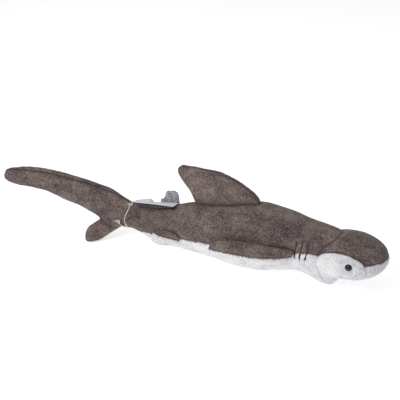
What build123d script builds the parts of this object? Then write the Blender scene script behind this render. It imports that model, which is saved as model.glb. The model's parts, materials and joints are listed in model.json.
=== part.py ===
"""A stuffed hammerhead shark, about 55 cm from hammer to tail tip.

+X is forward, +Z is up and -Y is the shark's right. The origin is on the flat of the belly
that the toy lies on. The body is drawn straight, then the tail is bent to the side at its
two soft bends, the way the toy lies at rest.
"""
import os

from build123d import *

os.makedirs("parts", exist_ok=True)

# Cloth and clearances
FABRIC = 2.0  # short-pile plush with its backing
STUFFING_GAP = 0.1  # between the stuffing and the cloth round it
BEND_GAP = 0.4  # between two bodies at a soft bend or a fin root
FLANK_GAP = 0.5  # between a fin and the flank that it lies against
TALL = 300.0  # more than the height of anything here

# Soft bends, each a standing cylinder that the next part of the body turns in
NECK_X = 148.0
NECK_R = 36.0
TAIL_X = -75.0
TAIL_R = 28.6
CAUDAL_X = -164.0
CAUDAL_R = 14.5
TAIL_REST = 12.0  # degrees of sideways bend at rest
CAUDAL_REST = 13.0

# Ellipses that the body is lofted through: x, top, bottom, half width
TORSO = [
    (TAIL_X, 69, 1, 28),
    (-50, 78, -2.5, 32),
    (-15, 85, -3, 36),
    (20, 93, -3, 38),
    (50, 99, -2.5, 38),
    (85, 96, 9, 36),
    (115, 91, 11, 33.5),
    (NECK_X, 85, 3, 32),
]
TAIL = [
    (CAUDAL_X, 66, 24, 12.5),
    (-140, 62, 19, 17),
    (-110, 62, 7, 22),
    (-80, 67, 2, 27.2),
    (-45, 79, 0.5, 32),
]
THROAT = [
    (110, 91, 11, 33.5),
    (130, 89, 3, 33),
    (142, 87, -1, 32.3),
    (150, 85, -1, 31),
    (160, 82, 6, 27),
]
# Ellipses across the hammer: y, centre x, centre z, half length, half height
HAMMER_HALF = [
    (0, 175, 58, 45, 26.5),
    (20, 174, 57, 40, 25),
    (34, 171, 54.5, 33, 18.5),
    (41, 171, 54, 24, 13),
    (44, 171, 54, 10, 5),
]
# Ellipses along the right pectoral and pelvic fins: x, centre y, centre z, half width, half height
PECTORAL = [
    (-5, -46, 39, 2, 3),
    (10, -46.5, 40, 7, 10),
    (30, -47.5, 42, 10, 16),
    (55, -47, 43, 11, 18),
    (75, -44.5, 45.5, 10, 16),
    (93, -40.5, 50, 7, 10),
    (105, -37.8, 54, 2.5, 3.5),
]
PELVIC = [
    (-112, -26.5, 28, 2, 4),
    (-102, -27, 29.5, 5, 9),
    (-92, -27.8, 31, 5.5, 8.5),
    (-83.5, -27.7, 34.5, 2, 3),
]
# Where the narrow of the tail runs into the caudal fin: x, top, bottom, half width
CAUDAL_NECK = [
    (-149.4, 64, 23, 14.2),
    (CAUDAL_X, 70, 22, 12.5),
    (-180, 80, 21, 10),
    (-200, 86, 48, 6),
]

# Seams between the grey back and the white belly
FLANK_SEAM_Z = 40.0  # above the origin
FLANK_SEAM_TILT = 8.1  # degrees, rising towards the head
HEAD_SEAM_Z = 60.0
END_SEAM_Y = 34.0  # the hammer's white end caps
PECTORAL_SEAM_Z = 44.0
PELVIC_SEAM_Z = 33.0

# Roots of the fins: the rolled hem that each fin turns on
DORSAL_ROOT = ((-43, 0, 83), (48, 0, 101))
PECTORAL_ROOT = ((50, -39, 56), (98, -36.1, 57))
PELVIC_ROOT = ((-104, -23.1, 39), (-87, -25.7, 40))
DORSAL_ROOT_R = 8.0
PECTORAL_ROOT_R = 5.0
PELVIC_ROOT_R = 3.0

DORSAL_HALF = 7.0
CAUDAL_HALF = 7.0

# Small pieces
GILL_X = (109, 116, 123)
GILL_WIDTH = 1.2
GILL_HEIGHT = 25.0
GILL_Z = 59.0
GILL_PROUD = 0.8
GILL_GAP = 0.4  # under the stitches, for the nap of the plush
EYE_AT = (181, 58)  # x, z
EYE_R = 5.0
EYE_Y = 41.2  # flat back of the eye
EYE_HEIGHT = 4.5
SHANK_R = 1.6
SHANK_LENGTH = 8.0
WASHER_R = 6.5
WASHER_THICK = 1.6
TAG_LENGTH = 62.0
TAG_WIDTH = 24.0
TAG_CARD = 0.5
TAG_Z = 69.5
TAG_X = -145.0  # the end at the string
TAG_Y = -5.0
STRING_R = 0.8
STRING_X = -147.5
KNOT_R = 2.4
END_LENGTH = 9.0
LABEL_WIDTH = 17.0
LABEL_TOP = 88.0
LABEL_BOTTOM = 58.0
LABEL_THICK = 1.2
LABEL_AT = (-92.0, 10.5)  # x, y

flank_seam = Plane(origin=(0, 0, FLANK_SEAM_Z), z_dir=(0, 0, 1)).rotated((0, -FLANK_SEAM_TILT, 0))


def along_x(stations, inset=0.0, mode=Mode.ADD):
    """Loft upright ellipses along the body, all inset by the same amount."""
    sections = []
    for x, top, bottom, half_width in stations:
        with BuildSketch(Plane.YZ.offset(x)) as section:
            with Locations((0, (top + bottom) / 2)):
                Ellipse(half_width - inset, (top - bottom) / 2 - inset)
        sections.append(section.sketch)
    loft(sections, mode=mode)


def fin_along_x(stations, inset=0.0, mode=Mode.ADD):
    """Loft the ellipses of a fin that lies along the flank."""
    sections = []
    for x, centre_y, centre_z, half_width, half_height in stations:
        with BuildSketch(Plane.YZ.offset(x)) as section:
            with Locations((centre_y, centre_z)):
                Ellipse(half_width - inset, half_height - inset)
        sections.append(section.sketch)
    loft(sections, mode=mode)


def hammer(inset=0.0):
    """Loft the hammer across the head, from its right end to its left end."""
    right_to_left = [(-y, *rest) for y, *rest in reversed(HAMMER_HALF)] + HAMMER_HALF[1:]
    end_y = HAMMER_HALF[-1][0]
    sections = []
    for y, centre_x, centre_z, half_length, half_height in right_to_left:
        with BuildSketch(Plane.XZ.offset(-y * (end_y - inset) / end_y)) as section:
            with Locations((centre_x, centre_z)):
                Ellipse(half_length - inset, half_height - inset)
        sections.append(section.sketch)
    loft(sections)


def hollow_bend(x, radius):
    """Cut the standing hollow that the next part of the body turns in."""
    with Locations((x, 0, 0)):
        Cylinder(radius + BEND_GAP, TALL, mode=Mode.SUBTRACT)


def round_bend(x, radius, ahead):
    """Round off the end that turns, keeping what lies inside the standing cylinder."""
    reach = 60 if ahead else -60
    with BuildSketch(Plane.XY.offset(-TALL / 2)) as beyond:
        with Locations((x + reach / 2, 0)):
            Rectangle(abs(reach), 2 * TALL)
        with Locations((x, 0)):
            Circle(radius, mode=Mode.SUBTRACT)
    extrude(beyond.sketch, amount=TALL, mode=Mode.SUBTRACT)


def root_roll(root, radius, extra=0.0, mode=Mode.ADD):
    """The rolled hem of a fin, or with some extra the groove that it sits in."""
    start = Vector(*root[0])
    run = Vector(*root[1]) - start
    with BuildSketch(Plane(origin=start - run.normalized() * extra, z_dir=run)) as circle:
        Circle(radius + extra)
    extrude(circle.sketch, amount=run.length + 2 * extra, mode=mode)


def mirrored(root):
    """The same root on the shark's left."""
    return tuple((x, -y, z) for x, y, z in root)


def keep_side(right):
    split(bisect_by=Plane.XZ, keep=Keep.TOP if right else Keep.BOTTOM)


def keep_back():
    split(bisect_by=flank_seam, keep=Keep.TOP)


def keep_belly():
    split(bisect_by=flank_seam, keep=Keep.BOTTOM)


def flatten():
    """Flatten what the toy lies on."""
    split(bisect_by=Plane.XY, keep=Keep.TOP)


def at_rest(piece, caudal=False):
    """Bend a piece of the tail to where it lies at rest."""
    if caudal:
        piece = piece.rotate(Axis((CAUDAL_X, 0, 0), (0, 0, 1)), CAUDAL_REST)
    return piece.rotate(Axis((TAIL_X, 0, 0), (0, 0, 1)), TAIL_REST)


def save(piece, name):
    piece.label = name
    export_step(piece, f"parts/{name}.step")
    print(f"{name}: {piece.volume / 1000:.1f} cm3")


# ---- Torso: two grey sides that meet in the spine seam, and a white belly ----


def torso_cuts():
    """The two bends and the grooves of the fin roots."""
    hollow_bend(TAIL_X, TAIL_R)
    hollow_bend(NECK_X, NECK_R)
    root_roll(DORSAL_ROOT, DORSAL_ROOT_R, BEND_GAP, Mode.SUBTRACT)
    for root in (PECTORAL_ROOT, mirrored(PECTORAL_ROOT)):
        root_roll(root, PECTORAL_ROOT_R, BEND_GAP, Mode.SUBTRACT)


for right in (True, False):
    with BuildPart() as torso_side:
        along_x(TORSO)
        along_x(TORSO, FABRIC, Mode.SUBTRACT)
        torso_cuts()
        keep_back()
        keep_side(right)
    save(torso_side.part, "torso_side_right" if right else "torso_side_left")

with BuildPart() as belly_panel:
    along_x(TORSO)
    along_x(TORSO, FABRIC, Mode.SUBTRACT)
    torso_cuts()
    keep_belly()
    flatten()
save(belly_panel.part, "belly_panel")

with BuildPart() as torso_stuffing:
    along_x(TORSO, FABRIC + STUFFING_GAP)
    torso_cuts()
    split(bisect_by=Plane.XY.offset(FABRIC), keep=Keep.TOP)
save(torso_stuffing.part, "torso_stuffing")


def section_at(stations, x):
    """Half width, half height and centre height of a lofted body at x."""
    for (x0, *start), (x1, *end) in zip(stations, stations[1:]):
        if x0 <= x <= x1:
            share = (x - x0) / (x1 - x0)
            top, bottom, half_width = (a + (b - a) * share for a, b in zip(start, end))
            return half_width, (top - bottom) / 2, (top + bottom) / 2


with BuildPart() as gill_stitches_right:
    for gill_x in GILL_X:
        half_width, half_height, centre_z = section_at(TORSO, gill_x)
        with BuildSketch(Plane.YZ.offset(gill_x - GILL_WIDTH / 2)):
            with Locations((0, centre_z)):
                Ellipse(half_width + GILL_PROUD, half_height + GILL_PROUD)
                Ellipse(half_width + GILL_GAP, half_height + GILL_GAP, mode=Mode.SUBTRACT)
            with Locations((-half_width, GILL_Z)):
                Rectangle(half_width, GILL_HEIGHT, mode=Mode.INTERSECT)
        extrude(amount=GILL_WIDTH)
save(gill_stitches_right.part, "gill_stitches_right")

with BuildPart() as gill_stitches_left:
    mirror(gill_stitches_right.part, about=Plane.XZ)
save(gill_stitches_left.part, "gill_stitches_left")

# ---- Dorsal fin: two panels round a flat core, on a rolled root along the spine ----


def dorsal_outline(inset=0.0):
    """The swept-back sail, drawn from its root to its rounded tip."""
    root_rear = (DORSAL_ROOT[0][0] + inset, DORSAL_ROOT[0][2])
    root_front = (DORSAL_ROOT[1][0] - 2 * inset, DORSAL_ROOT[1][2])
    with BuildSketch(Plane.XZ) as outline:
        with BuildLine():
            rear = Spline(root_rear, (-69 + inset, 103), (-78 + inset, 121))
            tip = ThreePointArc(rear @ 1, (-75 + inset, 130 - inset), (-64, 133 - inset))
            top = Spline(tip @ 1, (-20, 132 - inset), (20, 119 - inset), root_front)
            Line(top @ 1, root_rear)
        make_face()
    return outline.sketch


def dorsal_core():
    with BuildPart() as core:
        extrude(dorsal_outline(FABRIC), amount=DORSAL_HALF - FABRIC, both=True)
        split(bisect_by=Plane.XY.offset(DORSAL_ROOT[1][2] + 1), keep=Keep.TOP)
    return core.part


dorsal_filling = dorsal_core()
for right in (True, False):
    with BuildPart() as dorsal_panel:
        extrude(dorsal_outline(), amount=DORSAL_HALF, both=True)
        root_roll(DORSAL_ROOT, DORSAL_ROOT_R)
        add(dorsal_filling, mode=Mode.SUBTRACT)
        keep_side(right)
    save(dorsal_panel.part, "dorsal_fin_right" if right else "dorsal_fin_left")
save(dorsal_filling, "dorsal_fin_stuffing")

# ---- Pectoral fins: fat swept-back pillows, grey above and white below ----

with BuildPart() as torso_room:
    along_x(TORSO, -FLANK_GAP)

with BuildPart() as pectoral_stuffing:
    fin_along_x(PECTORAL[1:-1], FABRIC + STUFFING_GAP)
    add(torso_room.part, mode=Mode.SUBTRACT)
    root_roll(PECTORAL_ROOT, PECTORAL_ROOT_R, STUFFING_GAP, Mode.SUBTRACT)

for above in (True, False):
    with BuildPart() as pectoral_panel:
        fin_along_x(PECTORAL)
        fin_along_x(PECTORAL[1:-1], FABRIC, Mode.SUBTRACT)
        add(torso_room.part, mode=Mode.SUBTRACT)
        split(bisect_by=Plane.XY.offset(PECTORAL_SEAM_Z), keep=Keep.TOP if above else Keep.BOTTOM)
        if above:
            root_roll(PECTORAL_ROOT, PECTORAL_ROOT_R)
    half = "top" if above else "bottom"
    save(pectoral_panel.part, f"pectoral_right_{half}")
    save(mirror(pectoral_panel.part, about=Plane.XZ), f"pectoral_left_{half}")
save(pectoral_stuffing.part, "pectoral_right_stuffing")
save(mirror(pectoral_stuffing.part, about=Plane.XZ), "pectoral_left_stuffing")

# ---- Tail: two grey sides, a white strip below, and what is sewn or tied to it ----


def tail_cuts():
    hollow_bend(CAUDAL_X, CAUDAL_R)
    round_bend(TAIL_X, TAIL_R, ahead=True)
    for root in (PELVIC_ROOT, mirrored(PELVIC_ROOT)):
        root_roll(root, PELVIC_ROOT_R, BEND_GAP, Mode.SUBTRACT)


for right in (True, False):
    with BuildPart() as tail_side:
        along_x(TAIL)
        along_x(TAIL, FABRIC, Mode.SUBTRACT)
        tail_cuts()
        keep_back()
        keep_side(right)
    save(at_rest(tail_side.part), "tail_side_right" if right else "tail_side_left")

with BuildPart() as tail_belly_strip:
    along_x(TAIL)
    along_x(TAIL, FABRIC, Mode.SUBTRACT)
    tail_cuts()
    keep_belly()
    flatten()
save(at_rest(tail_belly_strip.part), "tail_belly_strip")

with BuildPart() as tail_stuffing:
    along_x(TAIL, FABRIC + STUFFING_GAP)
    tail_cuts()
    split(bisect_by=Plane.XY.offset(FABRIC), keep=Keep.TOP)
save(at_rest(tail_stuffing.part), "tail_stuffing")

with BuildPart() as tail_room:
    along_x(TAIL, -FLANK_GAP)

label_x, label_y = LABEL_AT
with BuildPart() as care_label:
    with BuildSketch(Plane.XZ.offset(-label_y - LABEL_THICK / 2)):
        with Locations((label_x, (LABEL_TOP + LABEL_BOTTOM) / 2)):
            RectangleRounded(LABEL_WIDTH, LABEL_TOP - LABEL_BOTTOM, LABEL_WIDTH / 5)
    extrude(amount=LABEL_THICK)
    add(tail_room.part, mode=Mode.SUBTRACT)
save(at_rest(care_label.part), "care_label")

with BuildPart() as pelvic_whole:
    fin_along_x(PELVIC)
    add(tail_room.part, mode=Mode.SUBTRACT)
    root_roll(PELVIC_ROOT, PELVIC_ROOT_R)

for above in (True, False):
    with BuildPart() as pelvic_panel:
        add(pelvic_whole.part)
        split(bisect_by=Plane.XY.offset(PELVIC_SEAM_Z), keep=Keep.TOP if above else Keep.BOTTOM)
    half = "top" if above else "bottom"
    save(at_rest(pelvic_panel.part), f"pelvic_right_{half}")
    save(at_rest(mirror(pelvic_panel.part, about=Plane.XZ)), f"pelvic_left_{half}")

# ---- Tag: a folded card on a twine loop round the narrow of the tail ----

string_half_width, string_half_height, string_z = section_at(TAIL, STRING_X)
string_half_width += BEND_GAP
string_half_height += BEND_GAP
with BuildPart() as tag_string:
    with BuildSketch(Plane.YZ.offset(STRING_X - STRING_R)):
        with Locations((0, string_z)):
            Ellipse(string_half_width + 2 * STRING_R, string_half_height + 2 * STRING_R)
            Ellipse(string_half_width, string_half_height, mode=Mode.SUBTRACT)
    extrude(amount=2 * STRING_R)
save(at_rest(tag_string.part), "tag_string")

knot_z = string_z + string_half_height + 2 * STRING_R + KNOT_R
end_y = -string_half_width - 2 * STRING_R - KNOT_R
with BuildPart() as string_knot:
    with Locations((STRING_X, 0, knot_z)):
        Sphere(KNOT_R)
    with BuildSketch(Plane.XY.offset(string_z)):
        with Locations((STRING_X, end_y)):
            Circle(KNOT_R)
    with BuildSketch(Plane.XY.offset(string_z - END_LENGTH)):
        with Locations((STRING_X, end_y)):
            Circle(STRING_R)
    loft()
save(at_rest(string_knot.part), "string_knot")

for name, leaf_z in (("tag_back", TAG_Z), ("tag_cover", TAG_Z + 2 * TAG_CARD)):
    with BuildPart() as tag_leaf:
        with BuildSketch(Plane.XY.offset(leaf_z)):
            with Locations((TAG_X + TAG_LENGTH / 2, TAG_Y)):
                RectangleRounded(TAG_LENGTH, TAG_WIDTH, TAG_WIDTH / 8)
        extrude(amount=TAG_CARD)
        if name == "tag_cover":
            with BuildSketch(Plane.XY.offset(TAG_Z + TAG_CARD)):
                with Locations((TAG_X + TAG_LENGTH / 2, TAG_Y - TAG_WIDTH / 2 + TAG_CARD)):
                    Rectangle(TAG_LENGTH * 3 / 4, TAG_CARD)
            extrude(amount=TAG_CARD)
    save(at_rest(tag_leaf.part), name)

# ---- Caudal fin: a long upper lobe and a short lower one, round one flat core ----


def caudal_outline(inset=0.0):
    """Both lobes, drawn along the top to the tip and back along the underside."""
    front_x = CAUDAL_X + CAUDAL_R
    with BuildSketch(Plane.XZ) as outline:
        with BuildLine():
            top = Spline((front_x, 62 - inset), (-185, 88 - inset), (-240, 109 - inset), (-316, 116 - inset))
            tip = ThreePointArc(top @ 1, (-328 + inset, 107), (-318, 97 + inset))
            under = Spline(tip @ 1, (-265, 80 + inset), (-215, 57 + inset), (-199 + inset, 38))
            lobe = Spline(under @ 1, (-211 + inset, 24), (-218 + inset, 9))
            lobe_tip = ThreePointArc(lobe @ 1, (-216 + inset, 2 + inset), (-208, 1.5 + inset))
            below = Spline(lobe_tip @ 1, (-185, 13 + inset), (front_x, 26 + inset))
            Line(below @ 1, top @ 0)
        make_face()
    return outline.sketch


def caudal_solid(inset=0.0):
    """The flat fin and the swell where the tail runs into it."""
    with BuildPart() as solid:
        extrude(caudal_outline(inset), amount=CAUDAL_HALF - inset, both=True)
        along_x(CAUDAL_NECK, inset)
        round_bend(CAUDAL_X, CAUDAL_R, ahead=True)
    return solid.part


caudal_filling = caudal_solid(FABRIC)
caudal_whole = caudal_solid()
for right in (True, False):
    with BuildPart() as caudal_panel:
        add(caudal_whole)
        add(caudal_filling, mode=Mode.SUBTRACT)
        keep_side(right)
    save(at_rest(caudal_panel.part, caudal=True), "caudal_fin_right" if right else "caudal_fin_left")
save(at_rest(caudal_filling, caudal=True), "caudal_fin_stuffing")

# ---- Head: the hammer and the throat, sewn from a grey top, a white underside and two ends ----


def head_solid(inset=0.0):
    front_x, *front = THROAT[-1]
    with BuildPart() as solid:
        along_x([*THROAT[:-1], (front_x - inset, *front)], inset)
        round_bend(NECK_X, NECK_R, ahead=False)
        hammer(inset)
    return solid.part


def eye_hardware(right):
    """A domed eye on a shank, and the washer that locks it behind the cloth."""
    side = -1 if right else 1
    eye_x, eye_z = EYE_AT
    outward = Plane(origin=(eye_x, side * EYE_Y, eye_z), z_dir=(0, side, 0))
    with BuildPart() as eye:
        with BuildSketch(outward.offset(-SHANK_LENGTH)):
            Circle(SHANK_R)
        extrude(amount=SHANK_LENGTH)
        dome_radius = (EYE_R**2 + EYE_HEIGHT**2) / (2 * EYE_HEIGHT)
        with Locations(outward.offset(EYE_HEIGHT - dome_radius)):
            Sphere(dome_radius)
        with BuildSketch(outward.offset(-2 * EYE_R)):
            Circle(2 * EYE_R)
            Circle(SHANK_R, mode=Mode.SUBTRACT)
        extrude(amount=2 * EYE_R, mode=Mode.SUBTRACT)
    with BuildPart() as washer:
        with BuildSketch(outward.offset(-SHANK_LENGTH + WASHER_THICK)):
            Circle(WASHER_R)
            Circle(SHANK_R + STUFFING_GAP, mode=Mode.SUBTRACT)
        extrude(amount=WASHER_THICK)
    return eye.part, washer.part


hardware = []
for right in (True, False):
    eye, washer = eye_hardware(right)
    hardware += [eye, washer]
    side_name = "right" if right else "left"
    save(eye, f"eye_{side_name}")
    save(washer, f"eye_washer_{side_name}")

head_whole = head_solid()
head_inside = head_solid(FABRIC)


def head_shell():
    add(head_whole)
    add(head_inside, mode=Mode.SUBTRACT)
    add(hardware, mode=Mode.SUBTRACT)
    flatten()


for above in (True, False):
    with BuildPart() as head_panel:
        head_shell()
        split(bisect_by=Plane.XY.offset(HEAD_SEAM_Z), keep=Keep.TOP if above else Keep.BOTTOM)
        split(bisect_by=Plane.XZ.offset(END_SEAM_Y), keep=Keep.BOTTOM)
        split(bisect_by=Plane.XZ.offset(-END_SEAM_Y), keep=Keep.TOP)
    save(head_panel.part, "head_top" if above else "head_underside")

for right in (True, False):
    with BuildPart() as hammer_end:
        head_shell()
        if right:
            split(bisect_by=Plane.XZ.offset(END_SEAM_Y), keep=Keep.TOP)
        else:
            split(bisect_by=Plane.XZ.offset(-END_SEAM_Y), keep=Keep.BOTTOM)
    save(hammer_end.part, "hammer_end_right" if right else "hammer_end_left")

with BuildPart() as head_stuffing:
    add(head_inside)
    add(hardware, mode=Mode.SUBTRACT)
    split(bisect_by=Plane.XY.offset(FABRIC), keep=Keep.TOP)
save(head_stuffing.part, "head_stuffing")
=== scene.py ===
# %% [markdown]
# # A stuffed hammerhead shark
# The toy is a sewn skin of short-pile plush, grey on the back and white on the belly, pulled
# tight by its stuffing. This lesson builds the whole skin as one closed form, presses the
# seams into it, cuts it into the panels that a maker would sew, and then adds the fins, the
# eyes, the embroidery, the label and the tag. The imported model is the frame, and the twine,
# the knot and the tag ride on its bodies.

# %% Load the frame
import json
import math

import bmesh
import bpy
import numpy as np
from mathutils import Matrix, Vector

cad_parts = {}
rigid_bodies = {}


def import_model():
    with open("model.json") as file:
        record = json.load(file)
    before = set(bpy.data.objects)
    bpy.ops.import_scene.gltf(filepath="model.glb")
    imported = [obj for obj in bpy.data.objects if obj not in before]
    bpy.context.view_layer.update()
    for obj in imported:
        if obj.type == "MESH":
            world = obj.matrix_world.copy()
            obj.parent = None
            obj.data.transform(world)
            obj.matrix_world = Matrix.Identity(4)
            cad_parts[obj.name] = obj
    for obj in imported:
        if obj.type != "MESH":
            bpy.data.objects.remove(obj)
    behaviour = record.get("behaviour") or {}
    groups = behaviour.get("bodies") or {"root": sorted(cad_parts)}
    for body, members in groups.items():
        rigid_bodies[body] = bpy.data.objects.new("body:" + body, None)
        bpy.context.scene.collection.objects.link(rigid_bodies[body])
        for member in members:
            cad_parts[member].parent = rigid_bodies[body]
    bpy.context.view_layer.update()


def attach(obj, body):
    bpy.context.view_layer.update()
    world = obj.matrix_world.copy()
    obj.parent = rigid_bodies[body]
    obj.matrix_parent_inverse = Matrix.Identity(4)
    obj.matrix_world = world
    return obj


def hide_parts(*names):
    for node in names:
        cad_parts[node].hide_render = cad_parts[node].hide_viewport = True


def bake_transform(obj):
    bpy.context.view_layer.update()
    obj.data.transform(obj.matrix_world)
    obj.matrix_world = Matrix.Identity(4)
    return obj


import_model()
MM = 0.001

# %% [markdown]
# ## Camera, floor and light
# The camera comes first, because every later choice is judged through it. A long lens from
# well above the side keeps the tail and the hammer in proportion. A plain pale floor and large
# soft lights leave hardly any shadow, as in a light tent.

# %% Camera
CAMERA_TARGET = Vector((-50, 0, 45)) * MM
CAMERA_DISTANCE = 1.1
CAMERA_AZIMUTH = math.radians(26)
CAMERA_ELEVATION = math.radians(29)
towards_camera = Vector((
    math.sin(CAMERA_AZIMUTH) * math.cos(CAMERA_ELEVATION),
    -math.cos(CAMERA_AZIMUTH) * math.cos(CAMERA_ELEVATION),
    math.sin(CAMERA_ELEVATION),
))
bpy.ops.object.camera_add(
    location=CAMERA_TARGET + towards_camera * CAMERA_DISTANCE,
    rotation=towards_camera.to_track_quat("Z", "Y").to_euler(),
)
camera = bpy.context.object
camera.name = "camera"
camera.data.lens = 70
camera.data.shift_x = 0.0075
camera.data.shift_y = 0.0575
bpy.context.scene.camera = camera
print("camera at", [round(c, 3) for c in camera.location])

# %% Floor and light
def area_light(name, place, size, power):
    bpy.ops.object.light_add(type="AREA", location=place)
    light = bpy.context.object
    light.name = name
    light.rotation_euler = (CAMERA_TARGET - Vector(place)).to_track_quat("-Z", "Y").to_euler()
    light.data.size = size
    light.data.energy = power
    return light


bpy.ops.mesh.primitive_plane_add(size=12)
floor = bpy.context.object
floor.name = "floor"
floor_paint = bpy.data.materials.new("light_table")
floor_paint.use_nodes = True
floor_shader = floor_paint.node_tree.nodes["Principled BSDF"]
floor_shader.inputs["Base Color"].default_value = (0.85, 0.85, 0.85, 1)
floor_shader.inputs["Roughness"].default_value = 0.9
floor_shader.inputs["Emission Color"].default_value = (1, 1, 1, 1)
floor_shader.inputs["Emission Strength"].default_value = 0.5
floor.data.materials.append(floor_paint)
area_light("overhead_softbox", (-0.2, 0.1, 1.7), 1.6, 6)
area_light("front_softbox", (-0.6, -1.4, 1.3), 0.8, 17)
world = bpy.data.worlds.new("studio")
bpy.context.scene.world = world
world.use_nodes = True
world.node_tree.nodes["Background"].inputs["Color"].default_value = (1, 1, 1, 1)
world.node_tree.nodes["Background"].inputs["Strength"].default_value = 0.42
bpy.context.scene.view_settings.view_transform = "Standard"

# %% [markdown]
# ## Helpers for modelling
# An operator works on whatever is selected, so each step starts by selecting one object alone.
# A modifier is added, set and applied in one go.

# %% Select, modify, read and write vertices


def pick(obj):
    if bpy.context.object and bpy.context.object.mode != "OBJECT":
        bpy.ops.object.mode_set(mode="OBJECT")
    bpy.ops.object.select_all(action="DESELECT")
    obj.select_set(True)
    bpy.context.view_layer.objects.active = obj
    return obj


def modify(obj, kind, **settings):
    pick(obj)
    modifier = obj.modifiers.new(kind.lower(), kind)
    for key, value in settings.items():
        setattr(modifier, key, value)
    bpy.ops.object.modifier_apply(modifier=modifier.name)
    return obj


def copy_of(obj, name):
    new = obj.copy()
    new.data = obj.data.copy()
    new.name = name
    bpy.context.scene.collection.objects.link(new)
    return new


def points(obj):
    """The vertices of a mesh in millimetres, as an array."""
    co = np.empty(len(obj.data.vertices) * 3)
    obj.data.vertices.foreach_get("co", co)
    return co.reshape(-1, 3) / MM


def set_points(obj, co):
    obj.data.vertices.foreach_set("co", (co * MM).ravel())
    obj.data.update()


def normals(obj):
    found = np.empty(len(obj.data.vertices) * 3)
    obj.data.vertices.foreach_get("normal", found)
    return found.reshape(-1, 3)


def outward(obj):
    pick(obj)
    bpy.ops.object.mode_set(mode="EDIT")
    bpy.ops.mesh.select_all(action="SELECT")
    bpy.ops.mesh.normals_make_consistent(inside=False)
    bpy.ops.object.mode_set(mode="OBJECT")
    return obj


# %% [markdown]
# ## Tubes from rings
# A body, a lobe and a fin are all tubes whose cross-section changes along the way. A filled
# circle is extruded from ring to ring, and each new ring is set to its own centre and half
# axes. A few rings are listed, and a smooth curve through them gives the rest.

# %% Loft a tube


def loft(name, rings, sides=32):
    """Extrude a disc through rings of (centre, half axis, half axis), in millimetres."""
    bpy.ops.mesh.primitive_circle_add(vertices=sides, radius=1, fill_type="NGON")
    obj = bpy.context.object
    obj.name = name
    frame_before = (np.zeros(3), np.array((1.0, 0, 0)), np.array((0, 1.0, 0)))
    bpy.ops.object.mode_set(mode="EDIT")
    bpy.ops.mesh.select_all(action="SELECT")
    for number, ring in enumerate(rings):
        if number:
            bpy.ops.mesh.extrude_region_move()
        centre, side, up = (np.array(part, float) * MM for part in ring)
        old_centre, old_side, old_up = frame_before
        mesh = bmesh.from_edit_mesh(obj.data)
        for vertex in mesh.verts:
            if vertex.select:
                place = np.array(vertex.co) - old_centre
                u = place @ old_side / (old_side @ old_side)
                v = place @ old_up / (old_up @ old_up)
                vertex.co = centre + u * side + v * up
        bmesh.update_edit_mesh(obj.data)
        frame_before = (centre, side, up)
    bpy.ops.object.mode_set(mode="OBJECT")
    return outward(obj)


def through(stations, at):
    """Each column of the stations as a smooth curve of the first column, read at the places given."""
    table = np.array(stations, float)
    x, columns = table[:, 0], table[:, 1:]
    steps = np.diff(x)[:, None]
    slopes = np.diff(columns, axis=0) / steps
    inner = (slopes[1:] * steps[:-1] + slopes[:-1] * steps[1:]) / (steps[1:] + steps[:-1])
    tangents = np.vstack([slopes[:1], inner, slopes[-1:]])
    at = np.asarray(at, float)
    spot = np.clip(np.searchsorted(x, at, side="right") - 1, 0, len(x) - 2)
    width = (x[spot + 1] - x[spot])[:, None]
    t = ((at - x[spot])[:, None]) / width
    return (
        (2 * t**3 - 3 * t**2 + 1) * columns[spot]
        + (t**3 - 2 * t**2 + t) * width * tangents[spot]
        + (3 * t**2 - 2 * t**3) * columns[spot + 1]
        + (t**3 - t**2) * width * tangents[spot + 1]
    )


def upright_rings(stations, step=5.0):
    """Rings that stand across the body, from (x, top, bottom, half width)."""
    at = np.arange(stations[0][0], stations[-1][0] + step / 2, step)
    at[-1] = stations[-1][0]
    rings = []
    for x, (top, bottom, half_width) in zip(at, through(stations, at)):
        rings.append(((x, 0, (top + bottom) / 2), (0, half_width, 0), (0, 0, (top - bottom) / 2)))
    return rings


# %% [markdown]
# ## The body form
# The torso and the tail are one tube, drawn straight. It is widest under the dorsal fin, rises
# off the floor behind the gills and comes down again at the throat. The hammer is a second tube
# across the head. The caudal fin is two more: a long upper lobe that sweeps up and back, and a
# short lower lobe.

# %% Body, hammer and caudal lobes
BODY = [
    (-172, 66, 28, 11.5), (-164, 64, 25, 12.5), (-140, 62, 19.5, 17), (-128, 62, 13, 19),
    (-110, 62.5, 6.5, 22), (-80, 67, 1.5, 27.2), (-50, 77.5, 0.5, 32), (-15, 85, 0, 36),
    (20, 93, -1.5, 38), (50, 98, -1.5, 38), (85, 94.5, 9.5, 36), (112, 88.5, 14, 33.5),
    (128, 86.5, 8.5, 32.6), (140, 85, 3.5, 32), (150, 83.5, 2.5, 30.5), (157, 81, 7, 27),
    (162, 78, 16, 22),
]
HAMMER = [
    (-44.8, 169, 52.5, 8, 4.5), (-43.4, 169, 52.5, 18.5, 10.2), (-39.8, 169, 52.5, 28, 15.2),
    (-34, 168.8, 52.5, 35, 19.2), (-20, 174.5, 54, 41.5, 26), (0, 176, 54.8, 45.9, 27.8),
    (20, 174.5, 53.5, 41.5, 25), (34, 168.8, 51.5, 35, 17.8), (39.8, 169, 51.5, 28, 14),
    (43.4, 169, 51.5, 18.5, 9.4), (44.8, 169, 51.5, 8, 4),
]
UPPER_LOBE = [
    (-329, 107.5, 99, 3), (-327, 111, 96, 5), (-320, 114.5, 91.5, 6.2), (-308, 116.8, 87.5, 6.8),
    (-290, 117.2, 84, 7.2), (-273, 115.6, 79.5, 7.6), (-256, 112, 71, 8), (-240, 107.5, 62, 8.4),
    (-222, 101.5, 54, 9), (-206, 96, 43, 9.6), (-190, 89.5, 32, 10.4), (-175, 82, 27, 11.4),
    (-160, 70, 24, 12.6), (-150, 64, 24, 13),
]
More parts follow.
